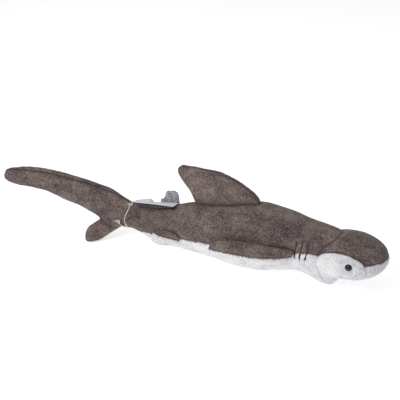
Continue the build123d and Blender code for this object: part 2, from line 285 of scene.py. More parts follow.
LOWER_LOBE = [
    (-220, 9, 2, 3), (-219, 15, -1.5, 5), (-215, 20.5, -4, 7), (-208, 26, -4, 8), (-197, 33, 1.5, 8.8),
    (-186, 40, 8, 9.4), (-176, 47, 14.5, 10.2), (-166, 50, 21, 11), (-158, 50, 25, 11),
]


def crosswise_rings(stations, step=3.0):
    """Rings across the head, from (y, centre x, centre z, half length, half height)."""
    at = np.arange(stations[0][0], stations[-1][0] + step / 2, step)
    rings = []
    for y, (x, z, half_length, half_height) in zip(at, through(stations, at)):
        rings.append(((x, y, z), (half_length, 0, 0), (0, 0, half_height)))
    return rings


body = loft("skin", upright_rings(BODY))
hammer = loft("hammer", crosswise_rings(HAMMER, 89.6 / 36))
upper_lobe = loft("upper_lobe", upright_rings(UPPER_LOBE, 179 / 45))
lower_lobe = loft("lower_lobe", upright_rings(LOWER_LOBE, 62 / 21))
for piece in (body, hammer, upper_lobe, lower_lobe):
    print(piece.name, len(piece.data.vertices), "vertices")

# %% [markdown]
# ## One closed skin
# A voxel remesh melts the four tubes into one closed form. Smoothing rounds the creases where
# they meet, as stuffing does, and the belly is pressed flat where the toy lies.

# %% Melt, smooth and flatten
VOXEL = 2.6 * MM


def melted(pieces, name, voxel, rounds):
    pick(pieces[0])
    for piece in pieces[1:]:
        piece.select_set(True)
    bpy.ops.object.join()
    whole = pieces[0]
    whole.name = name
    modify(whole, "REMESH", mode="VOXEL", voxel_size=voxel)
    modify(whole, "SMOOTH", factor=0.5, iterations=rounds)
    modify(whole, "SUBSURF", levels=1, render_levels=1)
    return whole


skin = melted([body, hammer, upper_lobe, lower_lobe], "skin", VOXEL, 6)
co = points(skin)
top, bottom, half_width = through(BODY, np.clip(co[:, 0], BODY[0][0], BODY[-1][0])).T
below = np.clip(((top + bottom) / 2 - co[:, 2]) / ((top - bottom) / 2), 0, 1)
co[:, 1] *= 1 - 0.1 * below**2 * np.clip((60 - co[:, 0]) / 40, 0, 1)  # slimmer towards the keel
co[:, 2] = np.where(co[:, 2] < 3, 3 + (co[:, 2] - 3) * 0.45, co[:, 2])
co[:, 2] = np.maximum(co[:, 2], 0.1)
set_points(skin, co)
print("skin:", len(skin.data.polygons), "faces, lowest point", round(co[:, 2].min(), 2), "mm")

# %% [markdown]
# ## Letting the cloth swell
# Stuffing pushes a sewn skin out until the cloth is tight, and the seams hold it back. Cloth
# simulation gives just that: the skin is remeshed coarsely, its seam lines are pinned, and
# pressure inside blows it up for twenty frames with no gravity. A cap on the movement keeps the
# size. The movement is then read from the coarse skin and added to the fine one. A body that is
# round already hardly gives, by under half a millimetre, while the flat sail reaches its cap.

# %% Swell a form under pressure
from mathutils.kdtree import KDTree


def tree_of(co):
    tree = KDTree(len(co))
    for number, place in enumerate(co):
        tree.insert(place, number)
    tree.balance()
    return tree


def distance_to(tree, co):
    return np.array([tree.find(place)[2] for place in co])


def swell(form, seam_points, voxel, cap, pressure=4.0, frames=20):
    """Blow up a coarse copy of a form between its seams, and move the form as the copy moves."""
    balloon = copy_of(form, "balloon")
    modify(balloon, "REMESH", mode="VOXEL", voxel_size=voxel * MM)
    before = points(balloon)
    held = distance_to(tree_of(seam_points), before) < voxel * 0.9
    group = balloon.vertex_groups.new(name="held")
    group.add([int(v) for v in np.nonzero(held)[0]], 1.0, "REPLACE")
    pick(balloon)
    cloth = balloon.modifiers.new("cloth", "CLOTH")
    cloth.settings.use_pressure = True
    cloth.settings.uniform_pressure_force = pressure
    cloth.settings.vertex_group_mass = "held"
    cloth.settings.effector_weights.gravity = 0
    cloth.point_cache.frame_end = frames
    for frame_number in range(1, frames + 1):
        bpy.context.scene.frame_set(frame_number)
    bpy.ops.object.modifier_apply(modifier=cloth.name)
    bpy.context.scene.frame_set(1)
    move = points(balloon) - before
    length = np.linalg.norm(move, axis=1, keepdims=True)
    move *= np.minimum(1, cap / np.maximum(length, 1e-6))
    tree = tree_of(before)
    co = points(form)
    added = np.zeros_like(co)
    for number, place in enumerate(co):
        near = tree.find_n(place, 4)
        weight = np.array([1 / (0.5 + distance) for _, _, distance in near])
        added[number] = weight @ move[[index for _, index, _ in near]] / weight.sum()
    set_points(form, co + added)
    bpy.data.objects.remove(balloon)
    return float(np.linalg.norm(added, axis=1).max())


# %% [markdown]
# ## Where the seams run
# On the toy the grey back and the white belly meet along each flank, in a line that climbs
# towards the head and runs out under the tail. A second seam crosses the neck in an arc behind
# the hammer, the hammer has a grey top, a white underside and a white cap on each end, and the
# two halves of the tail meet just below its top edge. Each seam is cut with bisect. A curved one
# is cut straight on a skin that has been bowed for the moment, and then let back.

# %% Cut the seams
NECK_SEAM_X = 158.0
NECK_SEAM_BOW = 0.0187  # how much further back the neck seam runs, with the square of y
FLANK_SEAM_Z = 40.0
FLANK_SEAM_SLOPE = 0.142
HEAD_SEAM_Z = 60.5
CAP_SEAM_Y = 34.0
FRONT_CUT_X = 20.0  # hidden cuts, where one bend's panels hand over to the next
REAR_CUT_X = -120.0


def share_between(start, end, value):
    """A smooth step: 0 at start, 1 at end."""
    t = np.clip((value - start) / (end - start), 0, 1)
    return t * t * (3 - 2 * t)


def bell(distance, reach):
    """1 on a line, fading to nothing at about twice the reach."""
    return np.exp(-((distance / reach) ** 2))


def neck_bow(co):
    return np.column_stack([NECK_SEAM_BOW * co[:, 1] ** 2, 0 * co[:, 0], 0 * co[:, 0]])


def tail_lean(co):
    """The tail's edge seam leans to the near side above its middle line, and away below it."""
    middle = 47 + 0.37 * (-165 - co[:, 0])
    lean = 0.25 * np.clip(co[:, 2] - middle, -20, 20)
    lean *= np.clip((-150 - co[:, 0]) / 30, 0, 1)
    return np.column_stack([0 * lean, lean, 0 * lean])


def centres(obj):
    found = np.empty(len(obj.data.polygons) * 3)
    obj.data.polygons.foreach_get("center", found)
    return found.reshape(-1, 3) / MM


def select_faces(obj, chosen=None):
    """Select the chosen faces, or all of them, and stay in edit mode."""
    if chosen is None:
        chosen = np.ones(len(obj.data.polygons), bool)
    pick(obj)
    bpy.ops.object.mode_set(mode="EDIT")
    bpy.ops.mesh.select_mode(type="FACE")
    bpy.ops.mesh.select_all(action="DESELECT")
    bpy.ops.object.mode_set(mode="OBJECT")
    obj.data.polygons.foreach_set("select", np.asarray(chosen, bool))
    bpy.ops.object.mode_set(mode="EDIT")


def cut(obj, chosen, place, facing, bow=None):
    """Cut the chosen faces, or all, along a plane, on a skin that may be bowed for the moment."""
    if bow:
        co = points(obj)
        set_points(obj, co + bow(co))
    select_faces(obj, chosen)
    bpy.ops.mesh.bisect(plane_co=[c * MM for c in place], plane_no=facing)
    bpy.ops.object.mode_set(mode="OBJECT")
    if bow:
        co = points(obj)
        set_points(obj, co - bow(co))
    return obj


def in_head(c):
    return c[:, 0] + NECK_SEAM_BOW * c[:, 1] ** 2 > NECK_SEAM_X


def strip_rise(co):
    """Behind the pelvic fins the flank seam runs a little higher."""
    fall = -4.0 * share_between(-108, -122, co[:, 0])
    return np.column_stack([0 * fall, 0 * fall, fall])


def above_flank_seam(c):
    return (c + strip_rise(c))[:, 2] > FLANK_SEAM_Z + FLANK_SEAM_SLOPE * c[:, 0]


cut(skin, None, (NECK_SEAM_X, 0, 0), (1, 0, 0), neck_bow)
c = centres(skin)
cut(skin, in_head(c), (0, -CAP_SEAM_Y, 0), (0, 1, 0))
c = centres(skin)
cut(skin, in_head(c), (0, CAP_SEAM_Y, 0), (0, 1, 0))
c = centres(skin)
cut(skin, in_head(c) & (abs(c[:, 1]) < CAP_SEAM_Y), (0, 0, HEAD_SEAM_Z), (0, 0, 1))
c = centres(skin)
cut(skin, ~in_head(c) & (c[:, 0] > -150), (0, 0, FLANK_SEAM_Z), (-FLANK_SEAM_SLOPE, 0, 1), strip_rise)
c = centres(skin)
cut(skin, ~in_head(c) & above_flank_seam(c), (0, 0, 0), (0, 1, 0), tail_lean)
for x in (FRONT_CUT_X, REAR_CUT_X):
    cut(skin, None, (x, 0, 0), (1, 0, 0))
select_faces(skin)
bpy.ops.mesh.remove_doubles(threshold=0.2 * MM)
bpy.ops.object.mode_set(mode="OBJECT")
print("skin after cutting:", len(skin.data.polygons), "faces")

# %% Name the panel that each face belongs to
PANELS = [
    "front_side_right", "front_side_left", "belly_front", "rear_side_right", "rear_side_left", "belly_rear",
    "tail_fin_right", "tail_fin_left", "head_top", "head_underside", "hammer_cap_right", "hammer_cap_left",
]


def panel_numbers(obj):
    """The number in PANELS of each face's panel."""
    c = centres(obj)
    x, y, z = c.T
    lean_y = y + tail_lean(c)[:, 1]
    head = in_head(c)
    part = np.where(x > FRONT_CUT_X, 0, np.where(x > REAR_CUT_X, 3, 6))
    number = part + np.where(lean_y < 0, 0, 1)
    below = ~above_flank_seam(c) & (x > -150) & ~head
    number = np.where(below, np.where(x > FRONT_CUT_X, 2, 5), number)
    number = np.where(head & (z > HEAD_SEAM_Z), 8, number)
    number = np.where(head & (z <= HEAD_SEAM_Z), 9, number)
    number = np.where(head & (y < -CAP_SEAM_Y), 10, number)
    return np.where(head & (y > CAP_SEAM_Y), 11, number)


SEWN = np.array([0, 1, 2, 0, 1, 2, 0, 1, 3, 4, 5, 6])  # panels with the same number here are one cloth
WHITE = {"belly_front", "belly_rear", "head_underside", "hammer_cap_right", "hammer_cap_left"}
panel = panel_numbers(skin)
print({name: int((panel == number).sum()) for number, name in enumerate(PANELS)})

# %% [markdown]
# ## Pressing the seams in
# A seam pulls the cloth down into the stuffing, deepest at the stitches and fading within a few
# millimetres. Where the pile is cut short at the stitches the two colours meet in a fine ditch.

# %% Lines in a plane


def smooth_line(places, step=2.5):
    """Evenly spaced points on a smooth curve through the given ones."""
    places = np.array(places, float)
    run = np.r_[0, np.cumsum(np.linalg.norm(np.diff(places, axis=0), axis=1))]
    at = np.linspace(0, run[-1], max(3, int(run[-1] / step)))
    return through(np.column_stack([run, places]), at)


def distance_to_line(flat, line):
    """The shortest distance of each point from a line of points, in a plane."""
    best = np.full(len(flat), np.inf)
    for start, end in zip(line, line[1:]):
        run = end - start
        t = np.clip((flat - start) @ run / (run @ run), 0, 1)
        best = np.minimum(best, np.linalg.norm(flat - start - t[:, None] * run, axis=1))
    return best


# %% Find the sewn edges and press them in


def seam_vertices(obj, cloth_of_face):
    """Vertices on an edge between two cloths, and for each the cloths that meet there."""
    mesh = bmesh.new()
    mesh.from_mesh(obj.data)
    met = {}
    for edge in mesh.edges:
        sides = {int(cloth_of_face[face.index]) for face in edge.link_faces}
        if len(sides) > 1:
            for vertex in edge.verts:
                met.setdefault(vertex.index, set()).update(sides)
    mesh.free()
    return met


def press_in(obj, stitched, depth, reach):
    co = points(obj)
    distance = distance_to(tree_of(co[stitched]), co)
    set_points(obj, co - normals(obj) * (depth * bell(distance, reach))[:, None])


met = seam_vertices(skin, SEWN[panel])
spine = [v for v, cloths in met.items() if cloths == {0, 1}]
sewn = [v for v, cloths in met.items() if cloths != {0, 1}]
swelled = swell(skin, points(skin)[list(met)], 5.0, 2.0)
co = points(skin)
cap_ring = [v for v in sewn if abs(abs(co[v, 1]) - CAP_SEAM_Y) < 0.4]
neck_ring = [v for v in sewn if abs(co[v, 0] + NECK_SEAM_BOW * co[v, 1] ** 2 - NECK_SEAM_X) < 0.4]
flank_line = [v for v in sewn if v not in set(cap_ring) | set(neck_ring)]
tail_line = [v for v in spine if co[v, 0] < -152]
press_in(skin, neck_ring, 0.7, 2.4)
press_in(skin, cap_ring, 1.9, 2.2)
press_in(skin, flank_line, 1.2, 2.4)
press_in(skin, [v for v in spine if co[v, 0] >= -152], 0.6, 2.2)
press_in(skin, tail_line, 1.5, 1.7)

# %% A crease where the lower lobe tucks under the tail
CREASE = [(-197, 37), (-191, 31.5), (-183, 26.5), (-172, 22), (-165, 21)]
co = points(skin)
away = distance_to_line(co[:, (0, 2)], smooth_line(CREASE))
depth = 2.4 * bell(away, 3.2) * np.clip(abs(co[:, 1]) / 4, 0, 1)
co[:, 1] -= np.sign(co[:, 1]) * depth
LOBE_LEAN = 7  # how far the end of the lower lobe leans to the near side
co[:, 1] -= LOBE_LEAN * share_between(30, 0, co[:, 2]) * share_between(-178, -214, co[:, 0])
set_points(skin, co)
print("sewn edge points:", len(met), " largest swelling:", round(swelled, 2), "mm")

# %% [markdown]
# ## Nap and dents
# Plush is never smooth. A slow noise gives the soft lumps of the stuffing and a fine one gives
# the pile a real relief. The eyes pull small dimples into the hammer's caps, and the cloth is
# gathered a little at the front of the underside. What would sink into the table is flattened.

# %% Lumps, dimples and the flat of the belly
from mathutils import noise

EYE_PLACE = np.array((181, 43, 58))
EYE_BED_Y = 41.9  # where the flat back of the eye presses on the cloth
GATHER, GATHER_PITCH = 0.5, 6.5
TABLE_GAP = 0.15


def lumpy(obj, slow=0.5, nap=0.22, seed=0.0):
    """Move the surface along its normals by a slow noise and a fine one, in millimetres."""
    co = points(obj)
    shift = Vector((seed, 0, 0))
    height = np.array([
        slow * noise.noise(Vector(place) / 17 + shift) + nap * noise.noise(Vector(place) / 1.7 + shift)
        for place in co
    ])
    set_points(obj, co + normals(obj) * height[:, None])


lumpy(skin)
co = points(skin)
for side in (-1, 1):
    eye = EYE_PLACE * (1, side, 1)
    away = np.linalg.norm((co - eye)[:, (0, 2)], axis=1)
    near = (away < 16) & (co[:, 1] * side > 30)
    pull = np.where(near, bell(away, 6.5), 0)
    co[:, 1] += pull * (side * EYE_BED_Y - co[:, 1]) * 0.9
front = np.clip((co[:, 0] - 200) / 12, 0, 1) * np.clip((58 - co[:, 2]) / 8, 0, 1) * (abs(co[:, 1]) < 33)
co[:, 0] += GATHER * front * np.sin(2 * np.pi * co[:, 1] / GATHER_PITCH)
co[:, 2] = np.maximum(co[:, 2], TABLE_GAP)
set_points(skin, co)
print("box of the straight skin:", co.min(0).round(1), co.max(0).round(1))

# %% [markdown]
# ## The dorsal fin
# The sail is two matching panels sewn round their edge and stuffed, so it is thickest low down,
# and thins to a seam round its edge. The root is pinched where it is sewn to the back. It starts
# as a flat plate of that outline, which is then puffed out by how far each point lies from the
# seam, and swelled.

# %% A pillow from an outline


def plate(name, outline, half):
    """A flat plate of the given outline in the XZ plane."""
    bpy.ops.mesh.primitive_circle_add(vertices=len(outline), radius=1, fill_type="NGON")
    obj = bpy.context.object
    obj.name = name
    set_points(obj, np.column_stack([outline[:, 0], np.full(len(outline), -half), outline[:, 1]]))
    bpy.ops.object.mode_set(mode="EDIT")
    bpy.ops.mesh.select_all(action="SELECT")
    bpy.ops.mesh.extrude_region_move(TRANSFORM_OT_translate={"value": (0, 2 * half * MM, 0)})
    bpy.ops.object.mode_set(mode="OBJECT")
    return outward(obj)


DORSAL_EDGE = [
    (-53, 76), (-56, 85), (-61, 93), (-69, 101.5), (-76, 110), (-80.5, 118), (-80.5, 125), (-75, 130.8),
    (-61, 132.8), (-42, 134), (-25, 133.8), (-7, 131.5), (11, 126), (26, 118.5), (36, 111), (43, 104),
    (46, 97),
]
DORSAL_BASE = [(46, 97), (30, 84), (0, 76), (-30, 70), (-53, 76)]
DORSAL_SEAM_Y = -2.2  # the seam rolls a little to the near side
edge = smooth_line(DORSAL_EDGE)
dorsal = plate("dorsal", np.vstack([edge, DORSAL_BASE[1:-1]]), 1.4)
modify(dorsal, "REMESH", mode="VOXEL", voxel_size=2.4 * MM)
modify(dorsal, "SMOOTH", factor=0.5, iterations=2)
co = points(dorsal)
away = distance_to_line(co[:, (0, 2)], edge)
round_share = np.sqrt(1 - (1 - np.clip(away / 20, 0, 1)) ** 2)
low_share = share_between(116, 90, co[:, 2] - 0.14 * co[:, 0])
rise = co[:, 2] - through(BODY, co[:, 0])[:, 0]
pinch = 0.38 + 0.62 * share_between(-3, 13, rise)
co[:, 1] *= np.maximum(0.5, round_share * pinch * (6.6 + 5.4 * low_share) / 1.4)
set_points(dorsal, co)
modify(dorsal, "SMOOTH", factor=0.5, iterations=3)
modify(dorsal, "SUBSURF", levels=1, render_levels=1)
cut(dorsal, None, (0, DORSAL_SEAM_Y, 0), (0, 1, 0))
line = np.column_stack([edge[:, 0], np.full(len(edge), DORSAL_SEAM_Y), edge[:, 1]])
swelled = swell(dorsal, line, 3.6, 1.6)
co = points(dorsal)
distance = distance_to(tree_of(smooth_line(line, 0.8)), co)
set_points(dorsal, co - normals(dorsal) * (0.9 * bell(distance, 2.0))[:, None])
lumpy(dorsal, 0.9, 0.22, 4.0)
dorsal_panel = (centres(dorsal)[:, 1] > DORSAL_SEAM_Y).astype(int)
thickness = np.ptp(points(dorsal)[:, 1])
print("dorsal fin swelled by", round(swelled, 2), "mm, thickness", thickness.round(1), "mm")

# %% [markdown]
# ## Pectoral and pelvic fins
# These are pillows too, but fat ones that lie against the flank, grey above and white below with
# the seam along the outer edge. They are lofted as tubes along the body. Whatever would sink
# into the flank is pushed out to rest on it.

# %% Side fins
PECTORAL = [
    (-10, -48, 40, 2, 3), (-7, -48, 40, 5, 8), (1, -47.8, 40.5, 7.4, 12.5), (14, -47.5, 41.5, 9, 15.8),
    (30, -47.5, 42.5, 10.2, 18), (50, -47, 43.5, 10.8, 18.6), (68, -45.5, 46, 10.2, 16.2),
    (84, -42.5, 49, 8.6, 12.6), (97, -39.5, 52.5, 6, 8.4), (106, -37, 55.5, 3, 4),
    (108, -36.4, 56, 1, 1.4),
]
PELVIC = [
    (-113, -26.5, 24.5, 1.5, 3), (-110, -27.3, 25.5, 3.6, 7), (-103, -28.4, 27, 5, 11),
    (-94, -29.6, 28, 5.4, 12.4), (-84, -30.4, 28.5, 4.6, 11.8), (-74, -30.8, 29.5, 3.2, 9.2),
    (-66, -31.4, 31, 1.6, 5.4), (-62, -31.6, 32, 0.8, 2),
]
PECTORAL_SEAM = (43.5, 0.078)  # height above the origin, and how it climbs towards the head
PELVIC_SEAM = (18.5, -0.15)


def flank_y(co):
    """How far the body's flank stands out at each point's place along and above it."""
    top, bottom, half_width = through(BODY, co[:, 0]).T
    rise = (co[:, 2] - (top + bottom) / 2) / ((top - bottom) / 2)
    return half_width * np.sqrt(np.clip(1 - rise**2, 0, 1))


def side_fin(name, stations, seam, voxel, cap, seed):
    at = np.linspace(stations[0][0], stations[-1][0], 40)
    rings = []
    for x, (y, z, half_width, half_height) in zip(at, through(stations, at)):
        rings.append(((x, y, z), (0, max(half_width, 0.6), 0), (0, 0, max(half_height, 0.6))))
    fin = loft(name, rings, 28)
    modify(fin, "REMESH", mode="VOXEL", voxel_size=voxel * MM)
    modify(fin, "SMOOTH", factor=0.5, iterations=3)
    modify(fin, "SUBSURF", levels=1, render_levels=1)
    height, slope = seam
    cut(fin, None, (0, 0, height), (-slope, 0, 1))
    c = centres(fin)
    numbers = (c[:, 2] < height + slope * c[:, 0]).astype(int)
    stitched = list(seam_vertices(fin, numbers))
    swelled = swell(fin, points(fin)[stitched], voxel * 1.7, cap, 40.0)
    press_in(fin, stitched, 1.3, 2.3)
    lumpy(fin, 0.7, 0.22, seed)
    co = points(fin)
    co[:, 1] = np.minimum(co[:, 1], -(flank_y(co) + 0.2))
    set_points(fin, co)
    print(name, "swelled by", round(swelled, 2), "mm")
    return fin, numbers


def mirrored(piece, name):
    twin = copy_of(piece, name)
    set_points(twin, points(twin) * (1, -1, 1))
    twin.data.flip_normals()
    return twin


pectoral, pectoral_panel = side_fin("pectoral", PECTORAL, PECTORAL_SEAM, 2.2, 1.5, 9.0)
pelvic, pelvic_panel = side_fin("pelvic", PELVIC, PELVIC_SEAM, 1.8, 0.8, 13.0)

# %% [markdown]
# ## The bend at rest
# The tail lies a little to one side. It turns at two soft bends, each smoothly over a
# few centimetres.

# %% Bend to rest
TAIL_X, TAIL_REST = -75.0, 12.0
CAUDAL_X, CAUDAL_REST = -164.0, 13.0
TAIL_BEND = (-50.0, -100.0)  # where the bend starts and ends, along the straight body
CAUDAL_BEND = (-150.0, -178.0)
NECK_BEND = (120.0, 160.0)


def turned(co, x, degrees):
    angle = np.radians(degrees)
    along, across = co[:, 0] - x, co[:, 1]
    return np.column_stack([
        x + along * np.cos(angle) - across * np.sin(angle),
        along * np.sin(angle) + across * np.cos(angle),
        co[:, 2],
    ])


def to_rest(co):
    co = np.atleast_2d(np.asarray(co, float))
    x = co[:, 0]
    co = turned(co, CAUDAL_X, CAUDAL_REST * share_between(*CAUDAL_BEND, x))
    return turned(co, TAIL_X, TAIL_REST * share_between(*TAIL_BEND, x))


def bend(obj):
    set_points(obj, to_rest(points(obj)))
    return obj


def place_at_rest(*place):
    return [float(c) * MM for c in to_rest([place])[0]]


BENDS = {
    "front": ("torso", "head", NECK_BEND),
    "rear": ("torso", "tail", TAIL_BEND),
    "end": ("tail", "caudal_fin", CAUDAL_BEND),
}


def follow(piece, bend_name):
    """Bake a piece's place into its mesh. The bend's bodies and stretch are looked up, but no blend is made.
    """
    first, second, stretch = BENDS[bend_name]
    start, end = (place_at_rest(x, 0, 50) for x in stretch)
    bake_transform(piece)


# %% [markdown]
# ## Where the pile parts, and painted shade
# At a seam the pile parts and the surface looks darker, and the shade of its ditch is painted in
# too. Where a fin lies against the body, painted shade darkens both. How near each point is to
# such a line is kept on the mesh as an attribute, which the plush finish reads. So is painted
# shade in streaks under the nose, and in the crease where the lower lobe tucks under the tail.

# %% Mark seams, and paint shade where cloth lies against cloth


def mark(obj, lines, reach=1.5, paint_shade_by=(), paint_shade_reach=2.4, painted_shade=0.0):
    co = points(obj)
    # Darker at the seams, where the pile parts, with the shade of the seam's ditch painted in too; painted
    # shade under the nose and in the tail crease is passed in.
    shade = np.maximum(painted_shade, bell(distance_to(tree_of(co[lines]), co), reach))
    # Painted shade: darker where a fin and the body lie against each other.
    for other in paint_shade_by:
        gap = distance_to(tree_of(points(other)), co)
        shade = np.maximum(shade, 0.9 * bell(gap, paint_shade_reach))
    attribute = obj.data.attributes.new("seam", "FLOAT", "POINT")
    attribute.data.foreach_set("value", shade)
    return float(shade.mean())


STREAK_PITCH = 4.6
dorsal_rim = list(seam_vertices(dorsal, dorsal_panel))
pectoral_left_form = mirrored(pectoral, "pectoral_left_form")
pelvic_left_form = mirrored(pelvic, "pelvic_left_form")
co = points(skin)
# Painted shade under the nose: the white underside darker towards the front, in upright streaks.
front = share_between(190, 212, co[:, 0]) * share_between(62, 56, co[:, 2]) * (abs(co[:, 1]) < CAP_SEAM_Y)
painted_nose_shade = front * (0.62 + 0.38 * np.sin(2 * np.pi * co[:, 1] / STREAK_PITCH))
# Painted shade in the crease where the lower lobe tucks under the tail.
crease_shade = 0.75 * bell(distance_to_line(co[:, (0, 2)], smooth_line(CREASE)), 2.2)
fins = [dorsal, pectoral, pectoral_left_form, pelvic, pelvic_left_form]
marked = [
    mark(skin, sewn + tail_line, paint_shade_by=fins, painted_shade=np.maximum(painted_nose_shade, crease_shade)),
    mark(dorsal, dorsal_rim, reach=1.1, paint_shade_by=[skin]),
]
for fin, numbers in zip(fins[1:], (pectoral_panel, pectoral_panel, pelvic_panel, pelvic_panel)):
    rim = list(seam_vertices(fin, numbers))
    marked.append(mark(fin, rim, reach=0.8, paint_shade_by=[skin], paint_shade_reach=1.6))
print("mean seam shade:", [round(share, 3) for share in marked])

# %% Bend everything that lies on the tail
straight_skin = copy_of(skin, "straight_skin")
bend(skin)
bend(pelvic)
bend(pelvic_left_form)
print("tail tip at rest:", points(skin)[points(skin)[:, 0].argmin()].round(1))

# %% [markdown]
# ## Finishes
# Shader sums are easier to read as Python. A small class wraps a node's output, so that adding
# or multiplying two of them adds the Math node. One method makes every other kind of node.

# %% Shader expressions


class Wire:
    """A node's output, used like a number."""

    def __init__(self, finish, socket):
        self.finish = finish
        self.socket = socket

    def math(self, operation, first, second):
        return self.finish.node("ShaderNodeMath", {0: first, 1: second}, operation=operation)

    def __add__(self, other):
        return self.math("ADD", self, other)

    def __sub__(self, other):
        return self.math("SUBTRACT", self, other)

    def __rsub__(self, other):
        return self.math("SUBTRACT", other, self)

    def __mul__(self, other):
        return self.math("MULTIPLY", self, other)

    __radd__ = __add__
    __rmul__ = __mul__


class Finish:
    """A material on the Principled shader."""

    def __init__(self, name, **constants):
        self.name = name
        self.material = bpy.data.materials.new(name)
        self.material.use_nodes = True
        self.tree = self.material.node_tree
        self.shader = self.tree.nodes["Principled BSDF"]
        for socket, value in constants.items():
            self.shader.inputs[socket.replace("_", " ")].default_value = value
        self.place = self.node("ShaderNodeTexCoord", output="Object")

    def node(self, kind, inputs=None, output=0, stops=None, **settings):
        node = self.tree.nodes.new(kind)
        for key, value in settings.items():
            setattr(node, key, value)
        if stops:
            ramp = node.color_ramp
            while len(ramp.elements) < len(stops):
                ramp.elements.new(0.5)
            for element, (position, colour) in zip(ramp.elements, stops):
                element.position = position
                element.color = colour
        for socket, value in (inputs or {}).items():
            if isinstance(value, Wire):
                self.tree.links.new(value.socket, node.inputs[socket])
            else:
                node.inputs[socket].default_value = value
        return Wire(self, node.outputs[output])

    def noise(self, size, detail=2.0, at=None):
        """Noise from 0 to 1 whose features are about the given size in millimetres."""
        inputs = {"Vector": at or self.place, "Scale": 1000 / size, "Detail": detail}
        return self.node("ShaderNodeTexNoise", inputs, output=0)

    def spread(self, value, low, high):
        """Stretch a value so that low becomes 0 and high becomes 1."""
        inputs = {"Value": value, "From Min": low, "From Max": high}
        return self.node("ShaderNodeMapRange", inputs, output=0)

    def mix(self, share, first, second):
        inputs = {0: share, 6: first, 7: second}
        return self.node("ShaderNodeMix", inputs, output=2, data_type="RGBA")

    def stretched(self, *scale):
        return self.node("ShaderNodeMapping", {"Vector": self.place, "Scale": scale})

    def feed(self, socket, value):
        self.tree.links.new(value.socket, self.shader.inputs[socket])

    def bump(self, height, depth, strength=1.0):
        inputs = {"Height": height, "Distance": depth * MM, "Strength": strength}
        self.feed("Normal", self.node("ShaderNodeBump", inputs))

    def give(self, *objects):
        for obj in objects:
            obj.data.materials.clear()
            obj.data.materials.append(self.material)


def srgb(red, green, blue):
    """A colour given as on a screen, from 0 to 255, as the linear colour that nodes use."""
    parts = [c / 255 for c in (red, green, blue)]
    return (*[c / 12.92 if c <= 0.04045 else ((c + 0.055) / 1.055) ** 2.4 for c in parts], 1.0)


# %% [markdown]
# The plush is short polyester pile. Brushed one way it is lighter, brushed the other way darker,
# so hand marks of a few centimetres lie over finer mottling, and single fibre ends catch the
# light as pale specks. The grey pile is a warm brown grey with a purplish dark side.

# %% Plush, grey and white


def plush(name, dark, middle, light, speck, contrast, seam_and_painted_shade):
    """Pile from its dark to its light side, with pale specks. The last argument is how dark the seam
    attribute makes it: seams where the pile parts, and painted shade.
    """
    finish = Finish(name, Roughness=0.95, Sheen_Weight=0.12, Sheen_Roughness=0.6, Specular_IOR_Level=0.15)
    patches = finish.noise(34, 2)
    strokes = finish.noise(9, 3, finish.stretched(0.55, 1, 1))
    mottle = finish.noise(3.6, 3)
    grain = finish.noise(1.3, 2)
    tone = patches * 0.6 + strokes * 0.45 + mottle * 0.4 + grain * 0.55
    shade = finish.spread(tone, 1.0 - contrast, 1.0 + contrast)
    seam = finish.node("ShaderNodeAttribute", output="Fac", attribute_name="seam")
    colour = finish.node(
        "ShaderNodeValToRGB", {"Fac": shade}, stops=[(0.0, dark), (0.5, middle), (1.0, light)]
    )
    specks = finish.spread(finish.noise(1.3, 1), 0.54, 0.72)
    pile = finish.mix(specks * 0.6, colour, speck)
    # Towards the dark pile at seams, where the pile parts, and with painted shade in the seam ditches, where
    # fins lie on the body, in the tail crease and under the nose.
    finish.feed("Base Color", finish.mix(seam * seam_and_painted_shade, pile, dark))
    fibres = finish.noise(0.8, 2, finish.stretched(0.4, 1, 1))
    finish.bump(fibres * 0.7 + mottle * 0.9 + grain * 0.5, 0.9, 0.75)
    return finish


GREY = srgb(60, 49, 52), srgb(92, 79, 78), srgb(126, 112, 104), srgb(156, 141, 128)
WHITES = srgb(164, 164, 175), srgb(214, 213, 216), srgb(230, 229, 230), srgb(244, 244, 244)
grey_plush = plush("grey_plush", *GREY, contrast=0.2, seam_and_painted_shade=0.8)
white_plush = plush("white_plush", *WHITES, contrast=0.26, seam_and_painted_shade=0.55)
print("plush finishes:", grey_plush.material.name, white_plush.material.name)

# %% Fill, thread, plastics, ribbon, twine and card
fill_finish = Finish("polyester_fill", Roughness=1.0)
fluff = fill_finish.noise(2.2, 6)
fill_finish.feed("Base Color", fill_finish.mix(fluff, srgb(226, 226, 222), srgb(250, 250, 248)))
fill_finish.bump(fluff, 1.0)

thread_finish = Finish("black_thread", Roughness=0.45, Sheen_Weight=0.2)
strands = thread_finish.noise(0.5, 2, thread_finish.stretched(1, 1, 0.4))
thread_finish.feed("Base Color", thread_finish.mix(strands, srgb(30, 26, 30), srgb(74, 66, 70)))
thread_finish.bump(strands, 0.3)

eye_finish = Finish(
    "eye_plastic", Roughness=0.1, Specular_IOR_Level=0.25, Coat_Weight=0.35, Coat_Roughness=0.03
)
eye_tint = eye_finish.noise(6, 1)
eye_finish.feed("Base Color", eye_finish.mix(eye_tint, srgb(6, 6, 8), srgb(22, 20, 22)))

washer_finish = Finish("washer_plastic", Roughness=0.5)
moulded = washer_finish.noise(1.5, 2)
washer_finish.feed("Base Color", washer_finish.mix(moulded, srgb(232, 231, 226), srgb(242, 241, 237)))
washer_finish.bump(moulded, 0.05)

label_finish = Finish("woven_label", Roughness=0.75)
speckle = {"Vector": label_finish.place, "Scale": 1000 / 2.1, "Randomness": 0.55}
cells = label_finish.node("ShaderNodeTexVoronoi", speckle, output="Distance")
holes = label_finish.spread(cells, 0.28, 0.5)
weave = label_finish.noise(0.7, 2)
ribbon = label_finish.mix(weave, srgb(74, 76, 82), srgb(104, 106, 114))
label_finish.feed("Base Color", label_finish.mix(holes, ribbon, srgb(176, 178, 188)))
label_finish.bump(holes + weave * 0.4, 0.25)

